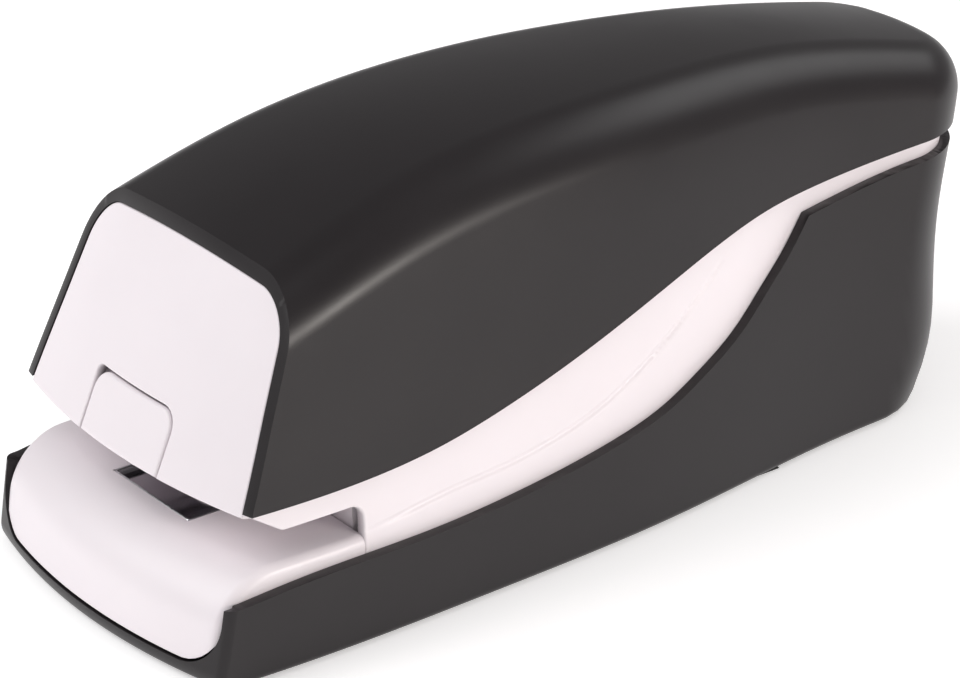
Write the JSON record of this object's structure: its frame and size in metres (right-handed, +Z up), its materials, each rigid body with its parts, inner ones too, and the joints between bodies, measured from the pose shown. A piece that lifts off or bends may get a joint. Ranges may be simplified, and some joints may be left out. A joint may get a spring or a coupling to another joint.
{
  "type": "electric stapler",
  "caption": "Battery electric desktop stapler: curved dark cover over white side walls, paper throat at the front and a pull-out staple drawer.",
  "frame": {"origin": "middle of the stapler's footprint, on the surface that it stands on", "axes": "+Z up, -Y towards the paper throat, +Y towards the rear with the power inlet, +X to the right of someone facing the rear"},
  "size_m": [0.0682, 0.1767, 0.0741],
  "materials": {
    "black_plastic": "satin, very fine moulded texture",
    "white_plastic": "satin",
    "rubber": "matt",
    "steel": "zinc plated, lightly brushed",
    "staple_wire": "bright galvanised wire",
    "brass": "machined",
    "gear_plastic": "natural acetal",
    "grey_plastic": "matt",
    "circuit_board": "lacquered",
    "cell_jacket": "lacquered can"
  },
  "bodies": {
    "body": {"top_cover": "black_plastic", "base_shell": "black_plastic", "base_deck": "white_plastic", "housing_right": "white_plastic", "housing_left": "white_plastic", "front_fascia": "white_plastic", "throat_liner": "white_plastic", "foot_front_left": "rubber", "foot_front_right": "rubber", "foot_rear_left": "rubber", "foot_rear_right": "rubber", "anvil_plate": "steel", "base_screw_1": "steel", "base_screw_2": "steel", "base_screw_3": "steel", "base_screw_4": "steel", "contact_front": "steel", "contact_rear": "steel", "second_gear_axle": "steel", "first_gear_axle": "steel", "chassis_left": "steel", "chassis_right": "steel", "chassis_spacer_front": "steel", "chassis_spacer_top": "steel", "chassis_spacer_rear": "steel", "pivot_pin": "steel", "blade_guide": "steel", "drive_motor": "steel", "trigger_pin": "steel", "dc_inlet": "grey_plastic", "battery_tray": "grey_plastic", "motor_end_cap": "grey_plastic", "micro_switch": "grey_plastic", "power_capacitor": "grey_plastic", "circuit_board": "circuit_board", "aa_cell_1": "cell_jacket", "aa_cell_2": "cell_jacket", "aa_cell_3": "cell_jacket", "aa_cell_4": "cell_jacket", "aa_cell_5": "cell_jacket", "aa_cell_6": "cell_jacket"},
    "crank": {"crank_gear": "gear_plastic", "crank_shaft": "steel", "eccentric_cam": "steel"},
    "second_wheel": {"second_gear": "gear_plastic"},
    "first_wheel": {"first_gear": "gear_plastic"},
    "motor_rotor": {"motor_pinion": "brass"},
    "arm": {"drive_arm": "steel"},
    "blade": {"driver_blade": "steel"},
    "guide": {"magazine_guide": "steel", "clamp_spring": "steel"},
    "magazine": {"magazine_drawer": "steel", "magazine_front": "white_plastic", "staple_rail": "steel", "staple_strip": "staple_wire", "pusher_rod": "steel"},
    "pusher": {"staple_pusher": "grey_plastic", "pusher_spring": "steel"},
    "trigger": {"paper_trigger": "grey_plastic"},
    "door": {"battery_door": "black_plastic"}
  },
  "joints": [
    {"name": "crank_turn", "type": "hinge", "parent": "body", "child": "crank", "pos_m": [0, -0.006, 0.0517], "axis": [1, 0, 0], "range_deg": [0, 180]},
    {"name": "second_wheel_turn", "type": "hinge", "parent": "body", "child": "second_wheel", "pos_m": [0, 0.01187, 0.05485], "axis": [1, 0, 0], "range_deg": [-468, 0]},
    {"name": "first_wheel_turn", "type": "hinge", "parent": "body", "child": "first_wheel", "pos_m": [0, 0.02747, 0.05067], "axis": [1, 0, 0], "range_deg": [0, 1404]},
    {"name": "motor_turn", "type": "hinge", "parent": "body", "child": "motor_rotor", "pos_m": [0, 0.03889, 0.04652], "axis": [1, 0, 0], "range_deg": [-4212, 0]},
    {"name": "arm_swing", "type": "hinge", "parent": "body", "child": "arm", "pos_m": [0, 0.022, 0.034], "axis": [1, 0, 0], "range_deg": [0, 8.7]},
    {"name": "blade_slide", "type": "slide", "parent": "body", "child": "blade", "axis": [0, 0, -1], "range_m": [0, 0.0136]},
    {"name": "guide_dip", "type": "hinge", "parent": "body", "child": "guide", "pos_m": [0, 0.022, 0.034], "axis": [1, 0, 0], "range_deg": [0, 3.01], "deforming": ["clamp_spring"]},
    {"name": "magazine_slide", "type": "slide", "parent": "guide", "child": "magazine", "axis": [0, -1, 0], "range_m": [0, 0.086]},
    {"name": "pusher_slide", "type": "slide", "parent": "magazine", "child": "pusher", "axis": [0, 1, 0], "range_m": [0, 0.018], "stiffness_N_per_m": 80, "springref_m": -0.02, "deforming": ["pusher_spring"]},
    {"name": "trigger_swing", "type": "hinge", "parent": "body", "child": "trigger", "pos_m": [0.014, -0.057, 0.031], "axis": [1, 0, 0], "range_deg": [0, 15], "stiffness_Nm_per_rad": 0.01, "springref_deg": -5.73},
    {"name": "door_slide", "type": "slide", "parent": "body", "child": "door", "axis": [0, 1, 0], "range_m": [0, 0.11]}
  ],
  "couplings": [
    {"joint": "second_wheel_turn", "follows": "crank_turn", "ratio": -2.6},
    {"joint": "first_wheel_turn", "follows": "crank_turn", "ratio": 7.8},
    {"joint": "motor_turn", "follows": "crank_turn", "ratio": -23.4},
    {"joint": "arm_swing", "follows": "crank_turn", "ratio": 0.04829},
    {"joint": "blade_slide", "follows": "crank_turn", "m_per_rad": 0.0042972},
    {"joint": "guide_dip", "follows": "crank_turn", "ratio": 0.016667}
  ]
}
